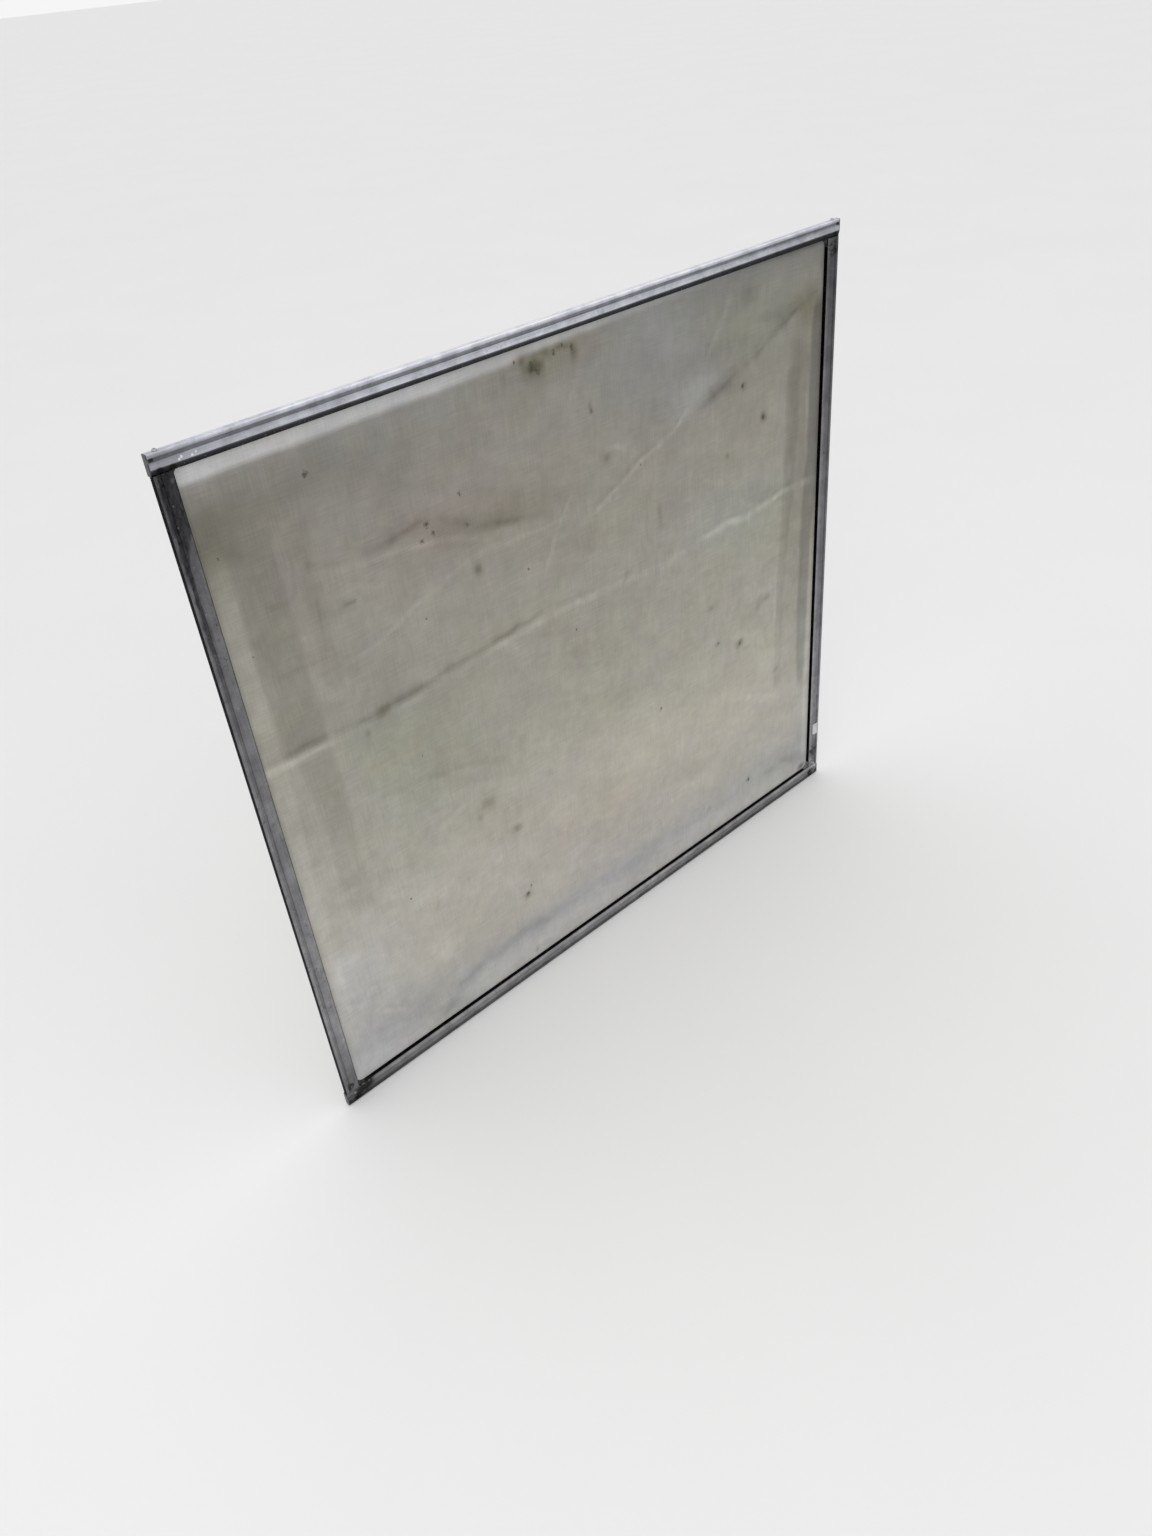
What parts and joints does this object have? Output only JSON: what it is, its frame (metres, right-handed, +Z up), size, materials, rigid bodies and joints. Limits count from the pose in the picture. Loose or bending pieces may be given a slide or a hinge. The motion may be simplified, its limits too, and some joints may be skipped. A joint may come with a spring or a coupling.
{
  "type": "screen printing frame",
  "caption": "Slim rectangular aluminium printing screen: grooved, bevelled rails butt-jointed with keys and screws, mesh glued across the back.",
  "frame": {"origin": "centre of the base of the standing frame, level with the two lower screw heads that it stands on", "axes": "+X across the frame's width, +Y through it towards the print side, +Z up; the squeegee side faces -Y"},
  "size_m": [1.14, 0.0086, 1.0444],
  "materials": {
    "rail": "mill finish, oxidised, drawn lengthwise, with ink marks",
    "rail_worn": "mill finish, stained and scuffed by ink and use",
    "key": "cast, matt",
    "screw": "zinc plated, dulled",
    "rivet": "blackened by ink",
    "plug": "moulded, scuffed at its edges",
    "glue": "cured, uneven",
    "mesh": "fine plain-weave screen mesh, stained and creased by use",
    "sealant": "cured bead, matt",
    "label": "blank, slightly soiled"
  },
  "bodies": {
    "root": {"top_rail": "rail", "bottom_rail": "rail", "left_rail": "rail_worn", "right_rail": "rail_worn", "corner_key_tl": "key", "corner_key_tr": "key", "corner_key_bl": "key", "corner_key_br": "key", "tie_screws": "screw", "key_rivets": "rivet", "plug_rivets": "rivet", "end_plug_tl": "plug", "end_plug_tr": "plug", "end_plug_bl": "plug", "end_plug_br": "plug", "glue_line_top": "glue", "glue_line_bottom": "glue", "glue_line_left": "glue", "glue_line_right": "glue", "screen_mesh": "mesh", "corner_sealant_tl": "sealant", "corner_sealant_tr": "sealant", "corner_sealant_bl": "sealant", "corner_sealant_br": "sealant", "blank_label": "label"}
  },
  "joints": []
}
